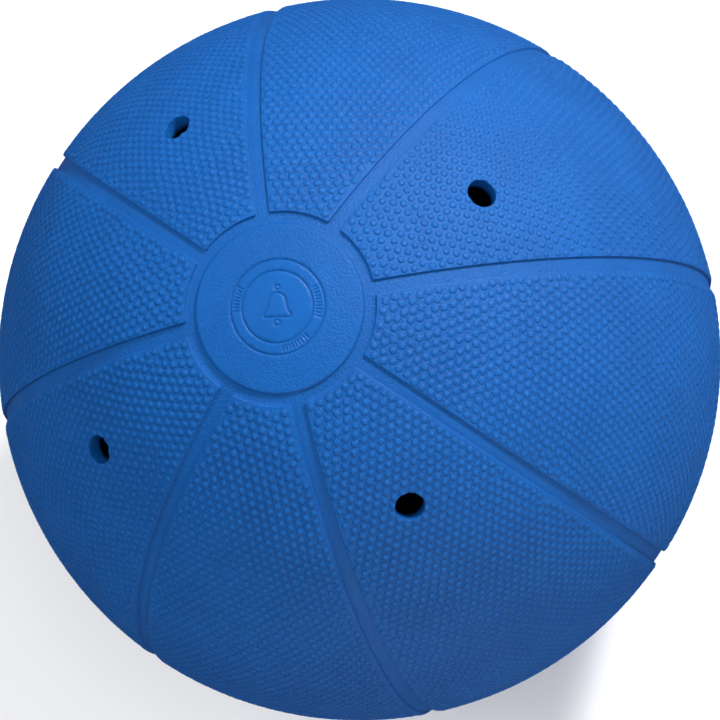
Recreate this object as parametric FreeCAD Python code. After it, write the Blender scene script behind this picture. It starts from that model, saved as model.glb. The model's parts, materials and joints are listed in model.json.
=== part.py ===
"""A goalball: a heavy hollow rubber ball of two bonded half shells, with loose bells inside.

Frame: millimetres, origin at the ball's centre, +Z along the moulding axis through the two caps.
Azimuth 0 lies along +X, on a channel. The upper shell is built, and the lower one is the same
moulding turned over about X. The bells are drawn where they settle, round the lower pole.
"""
import FreeCAD, Part
import math
import os

from FreeCAD import Vector

# Ball, measured over the tops of the pebbled panels
BALL_RADIUS = 121.0
WALL = 5.5

# Channels between the panels, and the moat that they run into round the cap
CHANNEL_COUNT = 8
CHANNEL_WIDTH = 4.7
CHANNEL_DEPTH = 1.4
MOAT_WIDTH = 3.8

# Cap at the pole, a little below the panels, with two engraved rings
CAP_RADIUS = 26.95
CAP_DROP = 0.4
CAP_EDGE_FILLET = 0.5
RING_RADII = (15.0, 11.35)
RING_WIDTH = 0.45
RING_DEPTH = 0.25

# Sound holes in every second panel: radius, then each one's angle from the pole and azimuth.
# They are drilled by hand, so they lie up to 4 mm off the panels' middles.
HOLE_RADIUS = 4.75
HOLE_PLACES = ((37.9, 21.1), (38.8, 111.1), (36.2, 200.8), (36.1, 291.0))

# Bells: two pressed cups crimped together at a flange
BELL_COUNT = 3
BELL_RADIUS = 17.0
BELL_WALL = 1.2
FLANGE_WIDTH = 1.2
CRIMP_WALL = 0.7
CRIMP_LIP = 0.8
CRIMP_CLEARANCE = 0.02
SLOT_WIDTH = 2.6
SLOT_REACH = 10.5
SLOT_END_RADIUS = 2.2
LOOP_WIRE = 1.8
LOOP_BEND = 1.8
LOOP_RADIUS = 4.0
LOOP_RISE = 2.0
LOOP_FOOT_GAP = 2.4
LOOP_CLEARANCE = 0.05
PELLET_RADIUS = 4.5

# Running gaps between loose pieces and what they lie against
SEAT_GAP = 0.3
BELL_SPACING_GAP = 0.6

# Derived sizes
INNER_RADIUS = BALL_RADIUS - WALL
FLOOR_RADIUS = BALL_RADIUS - CHANNEL_DEPTH
CAP_TOP_RADIUS = BALL_RADIUS - CAP_DROP
PANEL_EDGE_RADIUS = CAP_RADIUS + MOAT_WIDTH
CLEAR = 2.0
REACH = BALL_RADIUS + CLEAR
BELL_INNER_RADIUS = BELL_RADIUS - BELL_WALL
CRIMP_INNER_RADIUS = BELL_RADIUS + FLANGE_WIDTH + CRIMP_CLEARANCE
CRIMP_RADIUS = CRIMP_INNER_RADIUS + CRIMP_WALL
BELL_ORBIT = INNER_RADIUS - SEAT_GAP - BELL_RADIUS
BELL_SPACING = 2 * CRIMP_RADIUS + BELL_SPACING_GAP
BELL_CLUSTER_RADIUS = BELL_SPACING / (2 * math.sin(math.pi / BELL_COUNT))
BELL_REST_ANGLE = math.degrees(math.asin(BELL_CLUSTER_RADIUS / BELL_ORBIT))
WIRE_RADIUS = LOOP_WIRE / 2
CROWN_UNDERSIDE = math.sqrt(BELL_INNER_RADIUS**2 - (LOOP_RADIUS + WIRE_RADIUS) ** 2)
FOOT_HEIGHT = CROWN_UNDERSIDE - LOOP_BEND

ORIGIN = Vector(0, 0, 0)
UP = Vector(0, 0, 1)
ACROSS = Vector(1, 0, 0)


def upright_cylinder(radius, low, high):
    """An upright cylinder about the moulding axis."""
    return Part.makeCylinder(radius, high - low, Vector(0, 0, low), UP)


def layer_above(radius):
    """Everything from this radius out to clear of the ball."""
    return Part.makeSphere(REACH).cut(Part.makeSphere(radius))


def revolved(edges):
    """The solid that a closed outline in the XZ plane sweeps about Z."""
    face = Part.Face(Part.Wire(edges))
    return face.revolve(ORIGIN, UP, 360)


def line(start, end):
    """A straight edge between two points given as (radius, height)."""
    return Part.makeLine(Vector(start[0], 0, start[1]), Vector(end[0], 0, end[1]))


def arc(radius, start, end):
    """An arc about the origin between two angles, in degrees above the XY plane."""
    points = []
    for angle in (start, (start + end) / 2, end):
        turn = math.radians(angle)
        points.append(Vector(radius * math.cos(turn), 0, radius * math.sin(turn)))
    return Part.Arc(*points).toShape()


def shell_blank():
    """A plain half shell with no channels, cap or holes."""
    edges = [
        line((INNER_RADIUS, 0), (BALL_RADIUS, 0)),
        arc(BALL_RADIUS, 0, 90),
        line((0, BALL_RADIUS), (0, INNER_RADIUS)),
        arc(INNER_RADIUS, 90, 0),
    ]
    return revolved(edges)


def channel_cutter():
    """The eight channels and the moat, down to one floor."""
    plan = upright_cylinder(PANEL_EDGE_RADIUS, -CLEAR, REACH)
    slabs = []
    for number in range(CHANNEL_COUNT // 2):
        corner = Vector(-REACH, -CHANNEL_WIDTH / 2, -CLEAR)
        slab = Part.makeBox(2 * REACH, CHANNEL_WIDTH, REACH + CLEAR, corner)
        slab.rotate(ORIGIN, UP, number * 360 / CHANNEL_COUNT)
        slabs.append(slab)
    plan = plan.multiFuse(slabs)
    plan = plan.cut(upright_cylinder(CAP_RADIUS, -2 * CLEAR, 2 * REACH))
    return plan.common(layer_above(FLOOR_RADIUS))


def cap_cutter():
    """What lies above the cap, reaching halfway over the moat."""
    over_moat = CAP_RADIUS + MOAT_WIDTH / 2
    return upright_cylinder(over_moat, 0, REACH).common(layer_above(CAP_TOP_RADIUS))


def ring_cutter(radius):
    """One engraved ring in the cap."""
    outer = upright_cylinder(radius + RING_WIDTH / 2, 0, REACH)
    ring = outer.cut(upright_cylinder(radius - RING_WIDTH / 2, -CLEAR, REACH + CLEAR))
    return ring.common(layer_above(CAP_TOP_RADIUS - RING_DEPTH))


def sound_hole_cutters():
    """Round holes through the wall, pointing at the ball's centre."""
    cutters = []
    for place in HOLE_PLACES:
        polar, azimuth = (math.radians(angle) for angle in place)
        direction = Vector(
            math.sin(polar) * math.cos(azimuth), math.sin(polar) * math.sin(azimuth), math.cos(polar)
        )
        start = direction * (INNER_RADIUS - CLEAR)
        cutters.append(Part.makeCylinder(HOLE_RADIUS, WALL + 2 * CLEAR, start, direction))
    return cutters


def soften_cap_edge(shell):
    """Rounds the cap's outer rim."""
    height = math.sqrt(CAP_TOP_RADIUS**2 - CAP_RADIUS**2)
    rim = []
    for edge in shell.Edges:
        box = edge.BoundBox
        if abs(box.ZMin - height) < 0.01 and abs(box.ZMax - height) < 0.01:
            rim.append(edge)
    return shell.makeFillet(min(CAP_EDGE_FILLET, 0.45 * (CHANNEL_DEPTH - CAP_DROP)), rim)


def half_shell():
    """One rubber moulding: wall, channels, cap with its rings, and sound holes."""
    shell = shell_blank().cut(channel_cutter())
    shell = shell.cut(cap_cutter())
    for radius in RING_RADII:
        shell = shell.cut(ring_cutter(radius))
    shell = soften_cap_edge(shell)
    for cutter in sound_hole_cutters():
        shell = shell.cut(cutter)
    return shell


def bell_crown():
    """The upper pressed cup, with its flange and the loop's two holes."""
    flange_angle = math.degrees(math.asin(BELL_WALL / BELL_RADIUS))
    foot = math.sqrt(BELL_RADIUS**2 - BELL_WALL**2)
    flange_radius = BELL_RADIUS + FLANGE_WIDTH
    crown = revolved([
        arc(BELL_INNER_RADIUS, 0, 90),
        line((0, BELL_INNER_RADIUS), (0, BELL_RADIUS)),
        arc(BELL_RADIUS, 90, flange_angle),
        line((foot, BELL_WALL), (flange_radius, BELL_WALL)),
        line((flange_radius, BELL_WALL), (flange_radius, 0)),
        line((flange_radius, 0), (BELL_INNER_RADIUS, 0)),
    ])
    for side in (-1, 1):
        start = Vector(side * LOOP_RADIUS, 0, 0)
        crown = crown.cut(Part.makeCylinder(WIRE_RADIUS + LOOP_CLEARANCE, 2 * BELL_RADIUS, start, UP))
    return crown


def bell_cup():
    """The lower pressed cup, crimped over the crown's flange and cut with crossed slots."""
    flange_angle = math.degrees(math.asin(BELL_WALL / BELL_RADIUS))
    foot = math.sqrt(BELL_RADIUS**2 - BELL_WALL**2)
    lip_low = BELL_WALL + CRIMP_CLEARANCE
    lip_high = lip_low + CRIMP_WALL
    lip_inner = CRIMP_INNER_RADIUS - CRIMP_LIP
    cup = revolved([
        line((BELL_INNER_RADIUS, 0), (CRIMP_INNER_RADIUS, 0)),
        line((CRIMP_INNER_RADIUS, 0), (CRIMP_INNER_RADIUS, lip_low)),
        line((CRIMP_INNER_RADIUS, lip_low), (lip_inner, lip_low)),
        line((lip_inner, lip_low), (lip_inner, lip_high)),
        line((lip_inner, lip_high), (CRIMP_RADIUS, lip_high)),
        line((CRIMP_RADIUS, lip_high), (CRIMP_RADIUS, -BELL_WALL)),
        line((CRIMP_RADIUS, -BELL_WALL), (foot, -BELL_WALL)),
        arc(BELL_RADIUS, -flange_angle, -90),
        line((0, -BELL_RADIUS), (0, -BELL_INNER_RADIUS)),
        arc(BELL_INNER_RADIUS, -90, 0),
    ])
    depth = BELL_RADIUS / 2 + CLEAR
    for quarter in range(4):
        corner = Vector(0, -SLOT_WIDTH / 2, -BELL_RADIUS - CLEAR)
        slot = Part.makeBox(SLOT_REACH, SLOT_WIDTH, depth, corner)
        end = Part.makeCylinder(SLOT_END_RADIUS, depth, Vector(SLOT_REACH, 0, corner.z), UP)
        cutter = slot.fuse(end)
        cutter.rotate(ORIGIN, UP, quarter * 90)
        cup = cup.cut(cutter)
    return cup


def bell_loop():
    """A wire loop whose two legs pass through the crown and turn inwards beneath it."""
    arch_height = BELL_RADIUS + LOOP_RISE
    bend_middle = LOOP_BEND * (1 - math.sqrt(0.5))
    foot_end = LOOP_FOOT_GAP / 2
    path = []
    for side in (-1, 1):
        leg = side * LOOP_RADIUS
        corner = [
            Vector(leg, 0, FOOT_HEIGHT + LOOP_BEND),
            Vector(leg - side * bend_middle, 0, FOOT_HEIGHT + bend_middle),
            Vector(leg - side * LOOP_BEND, 0, FOOT_HEIGHT),
        ]
        path.append(line((leg, arch_height), (leg, FOOT_HEIGHT + LOOP_BEND)))
        path.append(Part.Arc(*corner).toShape())
        path.append(line((leg - side * LOOP_BEND, FOOT_HEIGHT), (side * foot_end, FOOT_HEIGHT)))
    crest = [
        Vector(-LOOP_RADIUS, 0, arch_height),
        Vector(0, 0, arch_height + LOOP_RADIUS),
        Vector(LOOP_RADIUS, 0, arch_height),
    ]
    path.append(Part.Arc(*crest).toShape())
    spine = Part.Wire(Part.__sortEdges__(path))
    section = Part.Wire([Part.makeCircle(WIRE_RADIUS, Vector(-foot_end, 0, FOOT_HEIGHT), ACROSS)])
    return spine.makePipeShell([section], True, False)


def bell_pellet():
    """The loose steel pellet, lying just clear of the cup."""
    height = -(BELL_INNER_RADIUS - PELLET_RADIUS - SEAT_GAP)
    return Part.makeSphere(PELLET_RADIUS, Vector(0, 0, height))


def placed_bell_piece(piece, number):
    """Moves a piece drawn about its bell's centre to where that bell settles."""
    azimuth = math.radians(90 + number * 360 / BELL_COUNT)
    axis = Vector(math.sin(azimuth), -math.cos(azimuth), 0)
    moved = piece.copy()
    moved.translate(Vector(0, 0, -BELL_ORBIT))
    moved.rotate(ORIGIN, axis, BELL_REST_ANGLE)
    return moved


def make_parts():
    """Every piece of the ball, by node name."""
    upper = half_shell()
    lower = upper.copy()
    lower.rotate(ORIGIN, ACROSS, 180)
    parts = {"upper_shell": upper, "lower_shell": lower}
    bell = {"crown": bell_crown(), "cup": bell_cup(), "loop": bell_loop(), "pellet": bell_pellet()}
    for number in range(BELL_COUNT):
        for name, piece in bell.items():
            parts[f"bell_{number + 1}_{name}"] = placed_bell_piece(piece, number)
    return parts


os.makedirs("parts", exist_ok=True)
for node, shape in make_parts().items():
    shape.exportStep(f"parts/{node}.step")
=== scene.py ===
"""A heavy hollow rubber bell ball on a pale studio floor, in metres, in the CAD's own frame.

Each shell is built in millimetres as eight sectors, each from the middle of one channel to the middle
of the next, with a cap disc at the pole. A sector is a height field over the sphere: its points are
laid out in a plane that unrolls the sphere along the sector's mid-meridian, and joined there.
"""
import json
import math

import bpy
import numpy as np
from mathutils import Matrix, Vector
from mathutils.geometry import delaunay_2d_cdt


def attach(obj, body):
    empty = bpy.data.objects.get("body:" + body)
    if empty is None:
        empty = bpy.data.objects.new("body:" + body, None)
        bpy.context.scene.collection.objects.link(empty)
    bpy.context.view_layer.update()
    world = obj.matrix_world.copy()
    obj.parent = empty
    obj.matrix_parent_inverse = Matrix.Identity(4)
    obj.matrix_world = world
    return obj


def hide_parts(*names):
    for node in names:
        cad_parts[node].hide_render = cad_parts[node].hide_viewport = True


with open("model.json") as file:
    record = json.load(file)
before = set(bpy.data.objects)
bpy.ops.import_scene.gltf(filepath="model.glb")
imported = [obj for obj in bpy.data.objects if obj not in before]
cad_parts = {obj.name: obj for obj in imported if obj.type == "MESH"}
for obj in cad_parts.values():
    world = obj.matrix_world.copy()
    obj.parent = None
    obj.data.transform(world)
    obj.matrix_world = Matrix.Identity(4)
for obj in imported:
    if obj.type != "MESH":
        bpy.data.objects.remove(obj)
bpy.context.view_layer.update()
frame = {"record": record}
MOUNTS = {mount["name"]: mount for mount in frame["record"]["mounts"]}

# Sizes in millimetres, as in the CAD.
MM = 0.001
BALL_RADIUS = -MOUNTS["storage_ring_seat"]["pos_m"][2] / MM
HOLE_RADIUS = MOUNTS["upper_sound_hole_1"]["dims"]["r_mm"]
HOLE_AXES = [MOUNTS[f"upper_sound_hole_{number}"]["axis"] for number in (1, 2, 3, 4)]
INNER_RADIUS = 115.5
CHANNEL_FLOOR = 119.6
CAP_TOP = 120.6
SECTORS = 8
HALF_SECTOR = math.pi / SECTORS

# The pebbles, and the panels' ground between them. Heights and radii vary by these shares, and a pebble
# is never wider than its share of the distance to its nearest neighbour.
PEBBLE_HEIGHT = 0.45
GROUND = BALL_RADIUS - PEBBLE_HEIGHT
RADIUS_SPREAD = 0.08
HEIGHT_SPREAD = 0.15
NEIGHBOUR_SHARE = 0.475

# A pebble is its top, a ring of points at its crest and a ring at its base.
CREST_POINTS = 6
BASE_POINTS = 9
CREST_SHARE = 0.66

# Pitch and base radius of a panel's pebbles. One panel has smaller and sparser ones.
PLAIN_PEBBLES = (3.06, 1.42)
SPARSE_PEBBLES = (3.25, 1.2)
SPARSE_SECTOR = 6
PLAIN_SEEDS = (23, 41)
HOLED_SEED = 11

# How a panel's pebbles are strewn: a lattice, tilted, bent in waves and loosened, then pushed apart. A
# wave is its height and its length over two pi. The patch that is kept is given in ball radii.
LATTICE_REACH = 90
LATTICE_MIDDLE = 95.0
LATTICE_TILT = 0.25
LATTICE_WAVES = ((1.6, 17), (0.8, 11), (1.6, 15))
LOOSENING = 0.42
PATCH_HALF_WIDTH = 0.45
PATCH_LENGTH = 1.6
EDGE_SHARE = 0.55
SETTLE_STEPS = 32
SETTLE_REFRESH = 8
SETTLE_REACH = 1.7
SETTLE_PITCH = 1.03
SETTLE_RATE = 0.25
EDGE_GAP = 0.03

# A channel's cross-section from its middle to the panel: distance from the middle, and from the
# ball's centre. Fine lines run along its floor.
SCORE = 0.02
SCORE_STEP = 0.42
FLOOR_COLUMNS = tuple((SCORE_STEP * i, CHANNEL_FLOOR + SCORE * (i % 2)) for i in range(5))
EDGE_COLUMNS = (
    (2.22, CHANNEL_FLOOR),
    (2.31, CHANNEL_FLOOR + 0.09),
    (2.35, GROUND - 0.12),
    (2.40, GROUND - 0.02),
    (2.52, GROUND),
)

# The moat round the cap, the panels' ends at it, and the steps between points along the edges.
PANEL_END = 28.45
MOAT_MIDDLE = 28.9
FLOOR_START = 0.9
EDGE_STATION = 1.3
STATION_MARGIN = 1.0
STATION_GAP = 0.4
ARC_STEPS = 24
LIP_POINTS = 100

# A sound hole's rim: the chamfer's width and depth, the clear ring round it and its wall's rows.
HOLE_POINTS = 72
RIM_WIDTH = 0.14
RIM_DEPTH = 0.1
RIM_CLEAR = 0.3
HOLE_ROWS = (0.12, 0.4, 0.7)

# The inner face's points: steps along its sides, and a grid's spacing, half width and rows.
INNER_STEPS = 49
INNER_GRID = 4.0
INNER_COLUMNS = 11
INNER_ROWS = (2, 46)
INNER_HOLE_CLEAR = 1.5
INNER_SEAM_CLEAR = 2

# The cap from its middle to the moat: distance from the axis, and from the ball's centre.
CAP_MIDDLE = 16.2
CAP_PROFILE = (
    *((rho, CAP_TOP) for rho in (CAP_MIDDLE, 17.5, 19.5, 21.5, 23.5, 25.3, 26.1)),
    (26.4, CAP_TOP - 0.03),
    (26.66, CAP_TOP - 0.13),
    (26.84, CAP_TOP - 0.32),
    (26.93, CAP_TOP - 0.6),
    (27.0, CHANNEL_FLOOR + 0.1),
    (27.12, CHANNEL_FLOOR),
    (27.9, CHANNEL_FLOOR),
    (MOAT_MIDDLE, CHANNEL_FLOOR),
)

# The cap's middle: two engraved rings with ticks between them, round a plain bell mark. A groove's
# profile is its distance from the line's middle and its depth, and a tick group is its first tick's
# angle in degrees and its number of ticks. The mark's right and up are given in the ball's axes.
RING_RADII = (11.35, 15.0)
RING_GROOVE = ((-0.24, 0.0), (-0.13, 0.2), (0.0, 0.26), (0.13, 0.2), (0.24, 0.0))
MARK_GROOVE = ((-0.27, 0.0), (-0.11, 0.24), (0.11, 0.24), (0.27, 0.0))
MARK_RIGHT = (-0.186, -0.983)
MARK_UP = (0.983, -0.186)
TICK_REACH = (12.45, 13.9)
TICK_HALF = 0.26
TICK_INSET = 0.12
TICK_DEPTH = 0.2
TICK_STEP = 4.6
TICK_END_POINTS = 5
TICK_GROUPS = ((-14, 10), (-82, 9), (152, 8))
CAP_GRID = (0.95, 0.82)
CAP_GRID_REACH = (17, 20)
CAP_GRID_CLEAR = 0.45
CAP_RIM_CLEAR = 0.5

# The plain bell mark: the heights of its foot, shoulder and top, its half widths, and the small rings
# below and above it as middle, radius and number of points.
BELL_FOOT = -3.3
BELL_SHOULDER = 1.2
BELL_TOP = 4.6
BELL_WAIST = 2.9
BELL_FLARE = 2.1
BELL_FLARE_POWER = 2.2
BELL_SPACING = 0.3
BELL_ROUNDING = 24
BELL_POINTS = 200
RING_BELOW = ((0, -4.95), 0.9, 16)
RING_ABOVE = ((0, 6.1), 0.75, 14)

# The seam at the equator: a narrow groove, half of it in each shell.
SEAM_HALF_WIDTH = 0.16
SEAM_DEPTH = 0.55

# Points of neighbouring sectors nearer than this are one point.
MERGE_STEP = 0.002

# A triangle within this distance of the inner radius is part of the inner face.
INNER_MARGIN = 0.1

# The unrolled discs: radius and middle of the outer face's and of the inner face's.
OUTER_DISC = (0.36, 0.37)
INNER_DISC = (0.12, 0.87)


def unit(points):
    """The points moved to a distance of one from the centre."""
    return points / np.linalg.norm(points, axis=-1, keepdims=True)


def flatten(points):
    """Plane coordinates: arc length from the sector's mid-meridian, and from the pole along it."""
    d = unit(points)
    return np.column_stack((np.arcsin(d[:, 1]), np.arctan2(d[:, 0], d[:, 2]))) * GROUND


def channel_point(theta, offset, radius, side=1):
    """A point of the channel on one side of the sector: theta from the pole, offset from its middle."""
    along = np.array((math.cos(HALF_SECTOR), side * math.sin(HALF_SECTOR), 0.0))
    inward = np.array((math.sin(HALF_SECTOR), -side * math.cos(HALF_SECTOR), 0.0))
    reach = math.sqrt(radius**2 - offset**2)
    up = np.array((0.0, 0.0, 1.0))
    return reach * math.sin(theta) * along + offset * inward + reach * math.cos(theta) * up


def lip_angle(offset, radius, height):
    """The angle from the pole at which a channel line is at that height above the equator."""
    return math.acos(height / math.sqrt(radius**2 - offset**2))


def start_angle(offset, radius, rho):
    """The angle from the pole at which a channel line is at a distance rho from the axis."""
    return math.atan2(math.sqrt(rho**2 - offset**2), math.sqrt(radius**2 - rho**2))


def arc_points(offset, rho, radius, count):
    """Points on a circle round the axis, from one channel's line at that offset to the other's."""
    reach = HALF_SECTOR - math.asin(offset / rho)
    azimuth = np.linspace(reach, -reach, count)
    height = math.sqrt(radius**2 - rho**2)
    return np.column_stack((rho * np.cos(azimuth), rho * np.sin(azimuth), np.full(count, height)))


def stations():
    """Angles from the pole at which every channel line has a point."""
    first = start_angle(0.0, GROUND, PANEL_END + EDGE_COLUMNS[-1][0] + STATION_MARGIN)
    last = math.pi / 2 - STATION_MARGIN / GROUND
    count = int((last - first) * GROUND / EDGE_STATION)
    return np.linspace(first, last, count)


STATIONS = stations()


def channel_line(offset, radius, start, side):
    """A line along a channel from its start angle to the seam's lip."""
    between = STATIONS[STATIONS > start + STATION_GAP / GROUND]
    angles = [start, *between, lip_angle(offset, radius, SEAM_HALF_WIDTH)]
    return np.array([channel_point(a, offset, radius, side) for a in angles])


def anticlockwise(plane, loop):
    """The loop's indices in the order that goes anticlockwise round it."""
    x, y = plane[loop].T
    area = np.sum(x * np.roll(y, -1) - y * np.roll(x, -1))
    return [int(i) for i in (loop if area > 0 else loop[::-1])]


class Layout:
    """Points of one surface with the plane coordinates used to join them."""

    def __init__(self):
        self.blocks = []
        self.tags = []
        self.edges = []
        self.count = 0

    def add(self, points, tag=-1, closed=None):
        """Adds points, and edges along them if closed is True or False. Returns their indices."""
        points = np.atleast_2d(points)
        index = np.arange(self.count, self.count + len(points))
        self.blocks.append(points)
        self.tags.append(np.broadcast_to(tag, len(points)))
        self.count += len(points)
        if closed is not None:
            self.edges.extend(zip(index[:-1].tolist(), index[1:].tolist()))
            if closed:
                self.edges.append((int(index[-1]), int(index[0])))
        return index

    def join(self, outline, holes):
        """Triangles over the outline and outside the holes, wound to face away from the centre."""
        points = np.concatenate(self.blocks)
        plane = flatten(points)
        faces = [anticlockwise(plane, loop) for loop in (outline, *holes)]
        places = [Vector(p) for p in plane.tolist()]
        _, _, triangles, origin, _, owners = delaunay_2d_cdt(places, self.edges, faces, 0, 1e-7, True)
        back = np.array([o[0] for o in origin])
        kept = [t for t, owner in zip(triangles, owners) if list(owner) == [0]]
        triangles = back[np.array(kept)]
        return points, np.concatenate(self.tags), triangles[:, ::-1]


def pebble_limits(points):
    """How far each point lies inside each of a panel's four edges."""
    s, c = math.sin(HALF_SECTOR), math.cos(HALF_SECTOR)
    right = points @ np.array((s, -c, 0.0)) - EDGE_COLUMNS[-1][0]
    left = points @ np.array((s, c, 0.0)) - EDGE_COLUMNS[-1][0]
    end = np.hypot(points[:, 0], points[:, 1]) - PANEL_END - EDGE_COLUMNS[-1][0]
    seam = points[:, 2] - SEAM_HALF_WIDTH
    return right, left, end, seam


def on_sphere(u, v):
    """Directions from the centre: u across the sector's mid-meridian and v along it from the pole."""
    return np.column_stack((np.cos(u) * np.sin(v), np.sin(u), np.cos(u) * np.cos(v)))


def near_pairs(points, reach):
    """Index pairs of points nearer to each other than reach."""
    close = points @ points.T > GROUND**2 - reach**2 / 2
    i, j = np.nonzero(np.triu(close, 1))
    return i, j


def settle(points, pitch, margin):
    """Pushes points apart and off the panel's edges until they pack almost evenly."""
    s, c = math.sin(HALF_SECTOR), math.cos(HALF_SECTOR)
    inward = ((s, -c, 0.0), (s, c, 0.0), None, (0.0, 0.0, 1.0))
    for step in range(SETTLE_STEPS):
        if step % SETTLE_REFRESH == 0:
            i, j = near_pairs(points, pitch * SETTLE_REACH)
        gap = points[i] - points[j]
        distance = np.linalg.norm(gap, axis=1)
        push = np.clip(pitch * SETTLE_PITCH - distance, 0, None) * SETTLE_RATE / distance
        shift = gap * push[:, None]
        for axis in range(3):
            points[:, axis] += np.bincount(i, shift[:, axis], len(points))
            points[:, axis] -= np.bincount(j, shift[:, axis], len(points))
        for limit, normal in zip(pebble_limits(points), inward):
            need = np.clip(margin - limit, 0, None)[:, None]
            if normal is None:
                flat = points * (1, 1, 0)
                points += need * unit(flat)
            else:
                points += need * np.array(normal)
        points = unit(points) * GROUND
    return points


def pebble_centres(rng, pitch, radius):
    """Centres of a panel's pebbles: a hexagonal lattice, loosened and then settled."""
    row = pitch * math.sqrt(3) / 2
    tilt = rng.uniform(-LATTICE_TILT, LATTICE_TILT)
    steps = np.arange(-LATTICE_REACH, LATTICE_REACH + 1)
    a, b = np.meshgrid(steps, steps)
    u = ((a + (b % 2) / 2) * pitch).ravel()
    v = (b * row).ravel()
    c, s = math.cos(tilt), math.sin(tilt)
    u, v = u * c - v * s, u * s + v * c + LATTICE_MIDDLE
    bend = rng.uniform(0, 6, 4)
    runs = zip(LATTICE_WAVES, (v, u, u), bend)
    across, ripple, along = (height * np.sin(line / length + phase) for (height, length), line, phase in runs)
    u, v = u + across + ripple, v + along
    u, v = u + rng.normal(0, LOOSENING, u.size), v + rng.normal(0, LOOSENING, v.size)
    keep = (np.abs(u) < GROUND * PATCH_HALF_WIDTH) & (v > 0) & (v < GROUND * PATCH_LENGTH)
    points = on_sphere(u[keep] / GROUND, v[keep] / GROUND) * GROUND
    inside = np.min(pebble_limits(points), axis=0) > radius * EDGE_SHARE
    return settle(points[inside], pitch, radius + EDGE_GAP)


def pebble_radii(rng, centres, radius):
    """Base radii that vary a little and leave a thin gap to the nearest neighbour."""
    wanted = radius * (1 + rng.uniform(-RADIUS_SPREAD, RADIUS_SPREAD, len(centres)))
    cosine = centres @ centres.T
    np.fill_diagonal(cosine, 0)
    nearest = np.sqrt(np.clip(2 * (GROUND**2 - cosine.max(axis=1)), 0.01, None))
    return np.minimum(wanted, nearest * NEIGHBOUR_SHARE)


def dome(share, height):
    """Height of a pebble's flattened dome at a share of its base radius."""
    return height * (1 - share**3)


def tangents(points):
    """Two directions along the sphere at each point."""
    d = unit(points)
    first = unit(np.cross(d, np.array((0.0, 1.0, 0.0)) + 0 * d))
    return first, np.cross(d, first)


def ring_points(centres, radii, heights, count, phases):
    """A ring of points round each centre at a height above the ground, as (ring, point, axis)."""
    first, second = tangents(centres)
    angle = phases[:, None] + np.arange(count) * 2 * math.pi / count
    around = np.cos(angle)[..., None] * first[:, None] + np.sin(angle)[..., None] * second[:, None]
    ring = centres[:, None] + around * radii[:, None, None]
    return unit(ring) * (GROUND + heights[:, None, None])


def turned(points, angle):
    """The points turned about the ball's axis."""
    c, s = math.cos(angle), math.sin(angle)
    x, y, z = points.T
    return np.column_stack((x * c - y * s, x * s + y * c, z))


def hole_distance(points, axis):
    """Distance of points from a sound hole's axis."""
    return np.linalg.norm(np.cross(points, axis), axis=-1)


def hole_loop(axis, radius, distances):
    """Points on the hole's wall or at a little wider radius, at given distances from the ball's centre."""
    across = unit(np.cross(axis, (1.0, 0.0, 0.0)))
    upward = np.cross(axis, across)
    angle = np.arange(HOLE_POINTS) * 2 * math.pi / HOLE_POINTS
    out = np.cos(angle)[:, None] * across + np.sin(angle)[:, None] * upward
    reach = np.sqrt(distances**2 - radius**2)
    return out * radius + axis * np.broadcast_to(reach, HOLE_POINTS)[:, None]


def bridge(first, second, closed=False):
    """Quads between two rows of point indices, as triangles."""
    first, second = np.asarray(first), np.asarray(second)
    if closed:
        first, second = np.append(first, first[0]), np.append(second, second[0])
    a, b, c, d = first[:-1], first[1:], second[1:], second[:-1]
    return np.concatenate((np.column_stack((a, b, c)), np.column_stack((a, c, d))))


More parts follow.
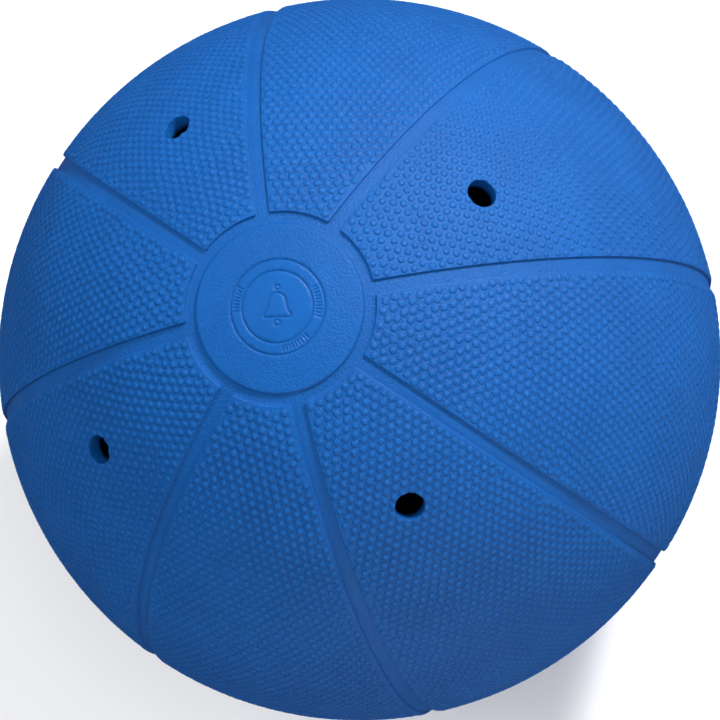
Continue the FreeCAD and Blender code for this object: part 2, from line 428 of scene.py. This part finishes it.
def outer_sector(rng, hole, pitch, base_radius):
    """One sector's outer surface. Returns points, pebble tags, triangles, the seam's lip and hole rims."""
    layout = Layout()
    moat = layout.add(arc_points(0.0, MOAT_MIDDLE, CHANNEL_FLOOR, ARC_STEPS + 1), closed=False)
    ends = {1: [], -1: []}
    first_columns = {}
    for side in (1, -1):
        for offset, radius in FLOOR_COLUMNS:
            rho = MOAT_MIDDLE + (FLOOR_START if offset else 0.0)
            line = channel_line(offset, radius, start_angle(offset, radius, rho), side)
            if offset == 0.0:
                index = layout.add(line[1:], closed=False)
                first_columns[side] = index
            else:
                index = layout.add(line, closed=False)
            ends[side].append(int(index[-1]))
    layout.edges.append((int(moat[0]), int(first_columns[1][0])))
    layout.edges.append((int(moat[-1]), int(first_columns[-1][0])))
    for offset, radius in EDGE_COLUMNS:
        rho = (PANEL_END + offset) * radius / GROUND
        start = start_angle(offset, radius, rho)
        right = channel_line(offset, radius, start, 1)[::-1]
        left = channel_line(offset, radius, start, -1)
        arc = arc_points(offset, rho, radius, ARC_STEPS)
        index = layout.add(np.concatenate((right, arc[1:-1], left)), closed=False)
        ends[1].append(int(index[0]))
        ends[-1].append(int(index[-1]))
    edge_offset, edge_radius = EDGE_COLUMNS[-1]
    lip = channel_point(lip_angle(edge_offset, edge_radius, SEAM_HALF_WIDTH), edge_offset, edge_radius)
    reach = math.atan2(lip[1], lip[0])
    azimuth = np.linspace(reach, -reach, LIP_POINTS)[1:-1]
    flat = math.sqrt(GROUND**2 - SEAM_HALF_WIDTH**2)
    height = np.full(len(azimuth), SEAM_HALF_WIDTH)
    low = np.column_stack((flat * np.cos(azimuth), flat * np.sin(azimuth), height))
    panel_lip = layout.add(low, closed=False)
    seam_lip = [*ends[1], *panel_lip.tolist(), *ends[-1][::-1]]
    layout.edges.extend(zip(seam_lip[:-1], seam_lip[1:]))
    left_side = first_columns[-1].tolist()
    right_side = first_columns[1][::-1][1:].tolist()
    outline = [*moat.tolist(), *left_side, *seam_lip[::-1][1:], *right_side]

    centres = pebble_centres(rng, pitch, base_radius)
    count = len(centres)
    radii = pebble_radii(rng, centres, base_radius)
    heights = PEBBLE_HEIGHT * (1 + rng.uniform(-HEIGHT_SPREAD, 0.0, count))
    phases = rng.uniform(0, 2 * math.pi, count)
    crest = ring_points(centres, radii * CREST_SHARE, dome(CREST_SHARE, heights), CREST_POINTS, phases)
    base = ring_points(centres, radii, 0 * heights, BASE_POINTS, phases)
    tops = unit(centres) * (GROUND + heights)[:, None]
    blocks = (
        (tops, np.full(count, -1)),
        (crest.reshape(-1, 3), np.full(count * CREST_POINTS, -1)),
        (base.reshape(-1, 3), np.repeat(np.arange(count), BASE_POINTS)),
    )
    rims = []
    if hole is not None:
        rough = hole_loop(hole, HOLE_RADIUS + RIM_WIDTH, np.full(HOLE_POINTS, GROUND))
        apart = np.linalg.norm(unit(rough)[:, None] - unit(centres)[None], axis=2) * GROUND
        share = np.clip(apart / radii, 0, 1)
        rise = np.max(dome(share, heights[None]), axis=1)
        layout.add(hole_loop(hole, HOLE_RADIUS + RIM_WIDTH, GROUND + rise), closed=True)
        rims.append(layout.add(hole_loop(hole, HOLE_RADIUS, GROUND + rise - RIM_DEPTH), closed=True))
    for points, tag in blocks:
        if hole is not None:
            clear = hole_distance(points, hole) > HOLE_RADIUS + RIM_CLEAR
            points, tag = points[clear], tag[clear]
        layout.add(points, tag)
    points, tags, triangles = layout.join(outline, rims)
    return points, tags, triangles, seam_lip, rims


def inner_sector(seam_azimuth, hole):
    """The inner surface of one sector, with its edge on the equator at the given azimuths."""
    layout = Layout()
    pole = layout.add(np.array((0.0, 0.0, INNER_RADIUS)))
    theta = np.linspace(0, math.pi / 2, INNER_STEPS)[1:-1]
    sides = [np.array([channel_point(t, 0.0, INNER_RADIUS, side) for t in theta]) for side in (1, -1)]
    right, left = (layout.add(side, closed=False) for side in sides)
    seam = np.column_stack((np.cos(seam_azimuth), np.sin(seam_azimuth), 0 * seam_azimuth)) * INNER_RADIUS
    seam = layout.add(seam, closed=False)
    columns = np.arange(-INNER_COLUMNS, INNER_COLUMNS + 1)
    u, v = np.meshgrid(columns * INNER_GRID, np.arange(*INNER_ROWS) * INNER_GRID)
    u = u + (np.arange(v.shape[0]) % 2)[:, None] * INNER_GRID / 2
    grid = on_sphere(u.ravel() / GROUND, v.ravel() / GROUND) * INNER_RADIUS
    right_in, left_in, _, seam_in = pebble_limits(grid)
    grid = grid[(right_in > 0) & (left_in > 0) & (seam_in > INNER_SEAM_CLEAR)]
    holes = []
    if hole is not None:
        grid = grid[hole_distance(grid, hole) > HOLE_RADIUS + INNER_HOLE_CLEAR]
        rim = hole_loop(hole, HOLE_RADIUS, np.full(HOLE_POINTS, INNER_RADIUS))
        holes.append(layout.add(rim, closed=True))
    layout.add(grid)
    outline = [int(pole[0]), *left.tolist(), *seam[::-1].tolist(), *right[::-1].tolist()]
    points, _, triangles = layout.join(outline, holes)
    return points, triangles[:, ::-1], seam, holes


def sector(seed, hole, pitch, radius):
    """One sector of a shell, open at its two sides and, on the outer face, at the moat."""
    rng = np.random.default_rng(seed)
    points, tags, triangles, lip, rims = outer_sector(rng, hole, pitch, radius)
    lip_points = points[lip]
    azimuth = np.arctan2(lip_points[:, 1], lip_points[:, 0])
    distance = np.hypot(lip_points[:, 0], lip_points[:, 1]) - SEAM_DEPTH
    groove = np.column_stack((np.cos(azimuth) * distance, np.sin(azimuth) * distance, 0 * azimuth))
    inner, inner_triangles, inner_seam, inner_rims = inner_sector(azimuth, hole)
    groove_index = np.arange(len(groove)) + len(points)
    inner_start = len(points) + len(groove)
    all_points = [points, groove, inner]
    faces = [triangles, inner_triangles + inner_start]
    faces.append(bridge(lip, groove_index))
    faces.append(bridge(groove_index, inner_seam + inner_start))
    count = inner_start + len(inner)
    for rim, inner_rim in zip(rims, inner_rims):
        previous = rim
        top = points[rim]
        bottom = inner[inner_rim]
        for share in HOLE_ROWS:
            row = top + (bottom - top) * share
            index = np.arange(len(row)) + count
            all_points.append(row)
            count += len(row)
            faces.append(bridge(previous, index, closed=True))
            previous = index
        faces.append(bridge(previous, inner_rim + inner_start, closed=True))
    all_points = np.concatenate(all_points)
    all_tags = np.full(len(all_points), -1)
    all_tags[: len(tags)] = tags
    return all_points, all_tags, np.concatenate(faces)


def smoothed(loop, passes):
    """A closed loop with its corners rounded."""
    for _ in range(passes):
        loop = (np.roll(loop, 1, axis=0) + 2 * loop + np.roll(loop, -1, axis=0)) / 4
    return loop


def even_loop(loop, spacing):
    """The closed loop with its points evenly spaced."""
    closed = np.concatenate((loop, loop[:1]))
    reach = np.concatenate(([0.0], np.cumsum(np.linalg.norm(np.diff(closed, axis=0), axis=1))))
    place = np.linspace(0, reach[-1], int(reach[-1] / spacing) + 1)[:-1]
    return np.column_stack([np.interp(place, reach, closed[:, axis]) for axis in (0, 1)])


def offset_loop(loop, distance):
    """A closed anticlockwise loop moved outwards by a distance."""
    along = unit(np.roll(loop, -1, axis=0) - np.roll(loop, 1, axis=0))
    return loop + distance * np.column_stack((along[:, 1], -along[:, 0]))


def circle(centre, radius, count):
    """An anticlockwise circle in the plane."""
    angle = np.arange(count) * 2 * math.pi / count
    return np.array(centre) + radius * np.column_stack((np.cos(angle), np.sin(angle)))


def bell_outline():
    """A plain bell's outline: a round crown on a skirt that flares towards its foot."""
    y = np.linspace(BELL_FOOT, BELL_TOP, BELL_POINTS)
    below = np.clip(BELL_SHOULDER - y, 0, None) / (BELL_SHOULDER - BELL_FOOT)
    above = np.clip(y - BELL_SHOULDER, 0, None) / (BELL_TOP - BELL_SHOULDER)
    skirt = BELL_WAIST + BELL_FLARE * below**BELL_FLARE_POWER
    crown = BELL_WAIST * np.sqrt(np.clip(1 - above**2, 0, None))
    width = np.where(y > BELL_SHOULDER, crown, skirt)
    right = np.column_stack((width, y))
    left = np.column_stack((-width, y))[::-1][1:]
    return smoothed(even_loop(np.concatenate((right, left)), BELL_SPACING), BELL_ROUNDING)


def tick_outline(angle):
    """A short radial slot between the two rings."""
    out = np.array((math.cos(angle), math.sin(angle)))
    side = np.array((-out[1], out[0]))
    outline = []
    for reach, sign in ((TICK_REACH[1], 1), (TICK_REACH[0], -1)):
        for a in np.linspace(-math.pi / 2, math.pi / 2, TICK_END_POINTS):
            end = out * (reach + sign * TICK_HALF * math.cos(a))
            outline.append(end + side * sign * TICK_HALF * math.sin(a))
    return np.array(outline)


def on_cap(plane, depth=0.0):
    """Points of the cap's top, at a depth below it, from their place as seen along the axis."""
    radius = CAP_TOP - depth
    height = np.sqrt(radius**2 - np.sum(plane**2, axis=1))
    return np.column_stack((plane, height))


def cap_centre():
    """The middle of the cap with its two engraved rings, a plain bell mark and small ticks."""
    layout = Layout()
    count = ARC_STEPS * SECTORS
    rim = layout.add(on_cap(circle((0, 0), CAP_MIDDLE, count)), closed=True)
    for ring in RING_RADII:
        for step, depth in RING_GROOVE:
            layout.add(on_cap(circle((0, 0), ring + step, count), depth), closed=True)
    marks = [bell_outline(), circle(*RING_BELOW), circle(*RING_ABOVE)]
    turn = np.array((MARK_RIGHT, MARK_UP))
    for mark in marks:
        for step, depth in MARK_GROOVE:
            layout.add(on_cap(offset_loop(mark, step) @ turn, depth), closed=True)
    for start, number in TICK_GROUPS:
        for i in range(number):
            tick = tick_outline(math.radians(start + i * TICK_STEP))
            layout.add(on_cap(tick @ turn), closed=True)
            layout.add(on_cap(offset_loop(tick, -TICK_INSET) @ turn, TICK_DEPTH), closed=True)
    x, y = (np.arange(-reach, reach + 1) * step for reach, step in zip(CAP_GRID_REACH, CAP_GRID))
    x, y = np.meshgrid(x, y)
    x = x + (np.arange(x.shape[0]) % 2)[:, None] * CAP_GRID[0] / 2
    grid = np.column_stack((x.ravel(), y.ravel()))
    grid = grid[np.hypot(*grid.T) < CAP_MIDDLE - CAP_RIM_CLEAR]
    lines = np.concatenate(layout.blocks)[:, :2]
    apart = np.linalg.norm(grid[:, None] - lines[None], axis=2).min(axis=1)
    layout.add(on_cap(grid[apart > CAP_GRID_CLEAR]))
    points, _, triangles = layout.join(rim, [])
    return points, triangles


def cap_disc():
    """The cap and the inner half of its moat."""
    count = ARC_STEPS * SECTORS
    centre, triangles = cap_centre()
    points = [centre]
    faces = [triangles]
    for i, (rho, radius) in enumerate(CAP_PROFILE):
        height = math.sqrt(radius**2 - rho**2)
        ring = circle((0, 0), rho, count)
        points.append(np.column_stack((ring, np.full(count, height))))
        if i:
            first = np.arange(count) + len(centre) + count * (i - 1)
            faces.append(bridge(first + count, first, closed=True))
    points = np.concatenate(points)
    return points, np.full(len(points), -1), np.concatenate(faces)


def half_shell_arrays():
    """Points, pebble tags and triangles of the upper shell, in millimetres."""
    points, tags, faces = ([x] for x in cap_disc())
    count = len(points[0])
    tag_start = 0
    plain = [sector(seed, None, *PLAIN_PEBBLES) for seed in PLAIN_SEEDS]
    for k in range(SECTORS):
        turn = HALF_SECTOR * (2 * k + 1)
        if k % 2:
            p, t, f = plain[k // 2 % 2]
            if k > SECTORS / 2:
                p = p * (1, -1, 1)
                f = f[:, ::-1]
        else:
            hole = turned(np.array([HOLE_AXES[k // 2]]), -turn)[0]
            pebbles = SPARSE_PEBBLES if k == SPARSE_SECTOR else PLAIN_PEBBLES
            p, t, f = sector(HOLED_SEED + k, hole, *pebbles)
        points.append(turned(p, turn))
        tags.append(np.where(t >= 0, t + tag_start, -1))
        faces.append(f + count)
        count += len(p)
        tag_start += int(t.max()) + 1
    return np.concatenate(points), np.concatenate(tags), np.concatenate(faces)


def merge_points(points, tags, faces):
    """Joins points that lie on the same place along the sectors' shared edges."""
    edges = np.sort(np.concatenate((faces[:, :2], faces[:, 1:], faces[:, ::2])), axis=1)
    unique, counts = np.unique(edges[:, 0] * len(points) + edges[:, 1], return_counts=True)
    border = np.unique(np.divmod(unique[counts == 1], len(points)))
    target = np.arange(len(points))
    order = border[np.argsort(points[border, 2], kind="stable")]
    z = points[order, 2]
    for n, i in enumerate(order):
        if target[i] != i:
            continue
        m = n + 1
        while m < len(order) and z[m] - z[n] < MERGE_STEP:
            j = order[m]
            if target[j] == j and np.abs(points[j] - points[i]).max() < MERGE_STEP:
                target[j] = i
            m += 1
    faces = target[faces]
    used, faces = np.unique(faces, return_inverse=True)
    return points[used], tags[used], faces.reshape(-1, 3)


def unrolled(points, faces):
    """Each triangle corner's place on two flat discs, a large one for the outer face."""
    corners = points[faces]
    distance = np.linalg.norm(corners, axis=2)
    inner = (distance.max(axis=1) < INNER_RADIUS + INNER_MARGIN)[:, None]
    angle = np.arccos(np.clip(np.abs(corners[:, :, 2]) / distance, 0, 1)) / (math.pi / 2)
    azimuth = np.arctan2(corners[:, :, 1], corners[:, :, 0])
    reach = np.where(inner, INNER_DISC[0], OUTER_DISC[0]) * angle
    middle = np.where(inner, INNER_DISC[1], OUTER_DISC[1])
    return np.stack((middle + reach * np.cos(azimuth), middle + reach * np.sin(azimuth)), axis=2)


def make_mesh(name, points, tags, faces):
    """A smooth mesh in metres, with sharp edges round each pebble's base."""
    mesh = bpy.data.meshes.new(name)
    mesh.vertices.add(len(points))
    mesh.vertices.foreach_set("co", (points * MM).astype(np.float32).ravel())
    mesh.loops.add(len(faces) * 3)
    mesh.loops.foreach_set("vertex_index", faces.astype(np.int32).ravel())
    mesh.polygons.add(len(faces))
    mesh.polygons.foreach_set("loop_start", np.arange(len(faces), dtype=np.int32) * 3)
    mesh.update(calc_edges=True)
    mesh.shade_smooth()
    ends = np.empty(len(mesh.edges) * 2, np.int32)
    mesh.edges.foreach_get("vertices", ends)
    a, b = tags[ends.reshape(-1, 2)].T
    mesh.edges.foreach_set("use_edge_sharp", (a == b) & (a >= 0))
    places = mesh.uv_layers.new(name="OFBake")
    places.data.foreach_set("uv", unrolled(points, faces).astype(np.float32).ravel())
    mesh.update()
    return mesh


def node(tree, kind, inputs=None, **settings):
    """Adds a node with its settings; an input takes a value or another node's output."""
    made = tree.nodes.new("ShaderNode" + kind)
    for name, value in settings.items():
        setattr(made, name, value)
    for key, value in (inputs or {}).items():
        if isinstance(value, bpy.types.NodeSocket):
            tree.links.new(value, made.inputs[key])
        else:
            made.inputs[key].default_value = value
    return made


def noise(tree, place, scale, detail=2.0, roughness=0.5):
    """A noise texture's value at a place, with its scale in repeats per metre."""
    inputs = {"Vector": place, "Scale": scale, "Detail": detail, "Roughness": roughness}
    return node(tree, "TexNoise", inputs).outputs[0]


def ramp(tree, value, low, high, to_low=0.0, to_high=1.0):
    """A value moved from one range to another and kept inside it."""
    inputs = {0: value, 1: low, 2: high, 3: to_low, 4: to_high}
    return node(tree, "MapRange", inputs, interpolation_type="SMOOTHSTEP").outputs[0]


def mix(tree, share, first, second):
    """A mix of two colours."""
    made = node(tree, "Mix", data_type="RGBA")
    for socket, value in zip((made.inputs[0], made.inputs[6], made.inputs[7]), (share, first, second)):
        if isinstance(value, bpy.types.NodeSocket):
            tree.links.new(value, socket)
        else:
            socket.default_value = value
    return made.outputs[2]


def bump(tree, height, distance, strength, normal=None):
    """A bump of that height in metres on the surface or on another bump."""
    inputs = {"Height": height, "Distance": distance, "Strength": strength}
    if normal is not None:
        inputs["Normal"] = normal
    return node(tree, "Bump", inputs).outputs[0]


def new_material(name):
    """An empty node material's tree, shader and object coordinates."""
    material = bpy.data.materials.new(name)
    material.use_nodes = True
    tree = material.node_tree
    place = node(tree, "TexCoord").outputs["Object"]
    return material, tree, tree.nodes["Principled BSDF"], place


# The rubber: its cloudy colour's two ends, a painted highlight on the pebbles' crests, painted shade in the
# channels and everything else sunk below the pebbles' ground, and painted shade at the pebbles' feet.
RUBBER_DEEP = (0.002, 0.073, 0.285, 1)
RUBBER_BRIGHT = (0.002, 0.082, 0.315, 1)
RUBBER_CREST_HIGHLIGHT = (0.004, 0.105, 0.385, 1)
RUBBER_SUNKEN_SHADE = (0.006, 0.07, 0.26, 1)
RUBBER_FOOT_SHADE = (0.001, 0.036, 0.16, 1)
RUBBER_SPECULAR = 0.2
RUBBER_ROUGHNESS = (0.42, 0.54)

# The rubber's patterns, in repeats per metre, and its grain's depth in metres, inside the rings and out.
RUBBER_CLOUDS = 38.0
RUBBER_SPECKS = 900.0
FINE_GRAIN = (1300.0, 0.0004)
COARSE_GRAIN = (420.0, 0.0003)
RINGS_GRAIN = 0.35
COARSE_STRENGTH = 0.35

# The steel's patterns, in repeats per metre, and its scratches' stretch and depth.
STEEL_TARNISH = 160.0
STEEL_SCRATCHES = 700.0
SCRATCH_STRETCH = (1.0, 1.0, 14.0)
SCRATCH_DEPTH = 0.00005
TARNISH_ROUGHENING = 0.16


def product(tree, first, second):
    """Two values multiplied."""
    return node(tree, "Math", {0: first, 1: second}, operation="MULTIPLY").outputs[0]


def rubber_material():
    """Matte moulded rubber: fine grain, cloudy colour, a painted highlight on the pebbles' crests, painted
    shade at the pebbles' feet and painted shade in the channels.
    """
    material, tree, shader, place = new_material("moulded_rubber")
    clouds = noise(tree, place, RUBBER_CLOUDS, 3.0, 0.6)
    specks = noise(tree, place, RUBBER_SPECKS, 3.0, 0.6)
    colour = mix(tree, ramp(tree, clouds, 0.35, 0.65), RUBBER_DEEP, RUBBER_BRIGHT)
    radius = node(tree, "VectorMath", {0: place}, operation="LENGTH").outputs["Value"]
    axial = node(tree, "VectorMath", {0: place, 1: (1.0, 1.0, 0.0)}, operation="MULTIPLY").outputs[0]
    rho = node(tree, "VectorMath", {0: axial}, operation="LENGTH").outputs["Value"]
    # Painted highlight: the pebbles' crests are lightened towards their tops, broken up by specks.
    crest = ramp(tree, radius, (GROUND + 0.22) * MM, BALL_RADIUS * MM)
    crest_highlight = product(tree, crest, ramp(tree, specks, 0.35, 0.7, 0.25, 0.7))
    colour = mix(tree, crest_highlight, colour, RUBBER_CREST_HIGHLIGHT)
    # Painted shade: everything sunk below the pebbles' ground, such as the channels, moat, seam, holes and
    # inner face, is darkened and greyed a little.
    hollow = ramp(tree, radius, (GROUND - 0.35) * MM, (GROUND + 0.12) * MM, 0.22, 0.0)
    colour = mix(tree, hollow, colour, RUBBER_SUNKEN_SHADE)
    # Painted shade: a dark band low on each pebble's sides, kept off the cap.
    over_ground = ramp(tree, radius, GROUND * MM, (GROUND + 0.05) * MM)
    under_crests = ramp(tree, radius, (GROUND + 0.1) * MM, (GROUND + 0.3) * MM, 0.6, 0.0)
    off_cap = ramp(tree, rho, (PANEL_END - 0.5) * MM, PANEL_END * MM)
    foot = product(tree, product(tree, over_ground, under_crests), off_cap)
    colour = mix(tree, foot, colour, RUBBER_FOOT_SHADE)
    tree.links.new(colour, shader.inputs["Base Color"])
    tree.links.new(ramp(tree, specks, 0.3, 0.7, *RUBBER_ROUGHNESS), shader.inputs["Roughness"])
    shader.inputs["Specular IOR Level"].default_value = RUBBER_SPECULAR
    outer_ring = RING_RADII[1]
    smoother = ramp(tree, rho, (outer_ring - 0.3) * MM, outer_ring * MM, RINGS_GRAIN, 1.0)
    fine_scale, fine_depth = FINE_GRAIN
    coarse_scale, coarse_depth = COARSE_GRAIN
    grain = bump(tree, noise(tree, place, fine_scale, 3.0, 0.6), fine_depth, smoother)
    grain = bump(tree, noise(tree, place, coarse_scale), coarse_depth, COARSE_STRENGTH, grain)
    tree.links.new(grain, shader.inputs["Normal"])
    return material


def steel_material(name, bright, dull, roughness):
    """Drawn steel: fine dull scratches, drawn out one way, and a cloudy tarnish that roughens it."""
    material, tree, shader, place = new_material(name)
    clouds = noise(tree, place, STEEL_TARNISH, 4.0, 0.65)
    stretched = node(tree, "Mapping", {"Vector": place, "Scale": SCRATCH_STRETCH}).outputs[0]
    scratches = noise(tree, stretched, STEEL_SCRATCHES, 3.0, 0.7)
    colour = mix(tree, ramp(tree, clouds, 0.4, 0.7), bright, dull)
    colour = mix(tree, ramp(tree, scratches, 0.55, 0.75, 0.0, 0.35), colour, dull)
    tree.links.new(colour, shader.inputs["Base Color"])
    duller = ramp(tree, clouds, 0.35, 0.7, roughness, roughness + TARNISH_ROUGHENING)
    tree.links.new(duller, shader.inputs["Roughness"])
    shader.inputs["Metallic"].default_value = 1.0
    tree.links.new(bump(tree, scratches, SCRATCH_DEPTH, 0.6), shader.inputs["Normal"])
    return material


STEELS = {
    "crown": steel_material("bell_steel", (0.72, 0.7, 0.66, 1), (0.5, 0.47, 0.42, 1), 0.24),
    "loop": steel_material("wire_steel", (0.62, 0.61, 0.6, 1), (0.42, 0.41, 0.39, 1), 0.3),
    "pellet": steel_material("pellet_steel", (0.55, 0.55, 0.56, 1), (0.34, 0.33, 0.33, 1), 0.34),
}
STEELS["cup"] = STEELS["crown"]
for bell in (1, 2, 3):
    for part, steel in STEELS.items():
        for material_slot in bpy.data.objects[f"bell_{bell}_{part}"].material_slots:
            material_slot.material = steel

RUBBER = rubber_material()

upper = merge_points(*half_shell_arrays())
lower = (upper[0] * (1, -1, -1), upper[1], upper[2])
for name, arrays in (("upper_shell", upper), ("lower_shell", lower)):
    shell = bpy.data.objects.new(name + "_pebbled", make_mesh(name + "_pebbled", *arrays))
    bpy.context.scene.collection.objects.link(shell)
    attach(shell, "ball")
    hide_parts(name)
    shell.data.materials.append(RUBBER)


def aim(direction, up):
    """Rotation that points an object's -Z away from direction, with its Y near up."""
    back = Vector(direction).normalized()
    side = Vector(up).cross(back).normalized()
    top = back.cross(side)
    return Matrix(((side.x, top.x, back.x), (side.y, top.y, back.y), (side.z, top.z, back.z)))


# The camera's direction from the ball, its upright, its distance in ball radii, its lens and framing.
CAMERA_BACK = Vector((-0.17565, -0.18112, 0.96765))
CAMERA_UP = (0.96751, -0.21334, 0.13570)
CAMERA_RADII = 12.2656
CAMERA_LENS = 220.85
CAMERA_SHIFT = (0.0005, -0.0008)


def make_camera():
    """The camera at the viewing angle, aimed at the ball's centre."""
    data = bpy.data.cameras.new("camera")
    data.sensor_width = 36.0
    data.lens = CAMERA_LENS
    data.shift_x, data.shift_y = CAMERA_SHIFT
    camera = bpy.data.objects.new("camera", data)
    rotation = aim(CAMERA_BACK, CAMERA_UP)
    place = CAMERA_BACK.normalized() * CAMERA_RADII * BALL_RADIUS * MM
    camera.matrix_world = Matrix.Translation(place) @ rotation.to_4x4()
    bpy.context.scene.collection.objects.link(camera)
    bpy.context.scene.camera = camera
    return rotation


# Every light's distance from the ball's centre, and its upright.
LIGHT_DISTANCE = 1.6
LIGHT_UP = (0.1, 0.2, 0.97)


def area_light(name, direction, size, power, shine):
    """A square area light in that direction from the ball, turned towards it, seen in reflections or not."""
    data = bpy.data.lights.new(name, "AREA")
    data.size = size
    data.energy = power
    light = bpy.data.objects.new(name, data)
    back = Vector(direction).normalized()
    light.matrix_world = Matrix.Translation(back * LIGHT_DISTANCE) @ aim(back, LIGHT_UP).to_4x4()
    light.visible_glossy = shine
    bpy.context.scene.collection.objects.link(light)


CAMERA_AXES = make_camera()
# Each light's direction in the camera's axes, its power, its size and whether it shines in reflections.
LIGHTS = {
    "key": ((0.35, 0.72, 0.6), 33.0, 0.25, True),
    "front": ((0.05, -0.1, 1.0), 6.0, 0.8, False),
    "right": ((0.85, 0.25, 0.42), 5.5, 1.2, False),
    "left": ((-0.75, 0.3, 0.5), 12.5, 1.0, False),
    "low": ((0.25, -0.9, 0.15), 11.0, 0.7, True),
}
for light_name, (toward, power, size, shine) in LIGHTS.items():
    area_light(light_name, CAMERA_AXES @ Vector(toward), size, power, shine)

# The sky's strength at the horizon and from a height upwards. Reflections leave it and the floor out.
SKY_TOP = 0.9
SKY_LOW = 0.42
SKY_HIGH = 0.525
world = bpy.data.worlds.new("studio")
world.use_nodes = True
sky = world.node_tree
sky_height = node(sky, "SeparateXYZ", {0: node(sky, "TexCoord").outputs["Generated"]}).outputs["Z"]
sky_glow = node(sky, "MapRange", {0: sky_height, 1: 0.0, 2: SKY_TOP, 3: SKY_LOW, 4: SKY_HIGH}).outputs[0]
sky.links.new(sky_glow, sky.nodes["Background"].inputs["Strength"])
sky.nodes["Background"].inputs["Color"].default_value = (1, 1, 1, 1)
world.cycles_visibility.glossy = False
bpy.context.scene.world = world
bpy.context.scene.view_settings.view_transform = "Standard"

FLOOR_GAP = 0.0001
FLOOR_Z = -BALL_RADIUS * MM - FLOOR_GAP
FLOOR_SIZE = 6.0
FLOOR_WHITE = (0.9, 0.9, 0.9, 1)
floor_mesh = bpy.data.meshes.new("studio_floor")
floor_corners = [(x * FLOOR_SIZE, y * FLOOR_SIZE, FLOOR_Z) for x, y in ((-1, -1), (1, -1), (1, 1), (-1, 1))]
floor_mesh.from_pydata(floor_corners, [], [(0, 1, 2, 3)])
floor = bpy.data.objects.new("studio_floor", floor_mesh)
bpy.context.scene.collection.objects.link(floor)
floor_material = bpy.data.materials.new("studio_floor")
floor_material.use_nodes = True
floor_material.node_tree.nodes["Principled BSDF"].inputs["Base Color"].default_value = FLOOR_WHITE
floor_mesh.materials.append(floor_material)
floor.visible_glossy = False
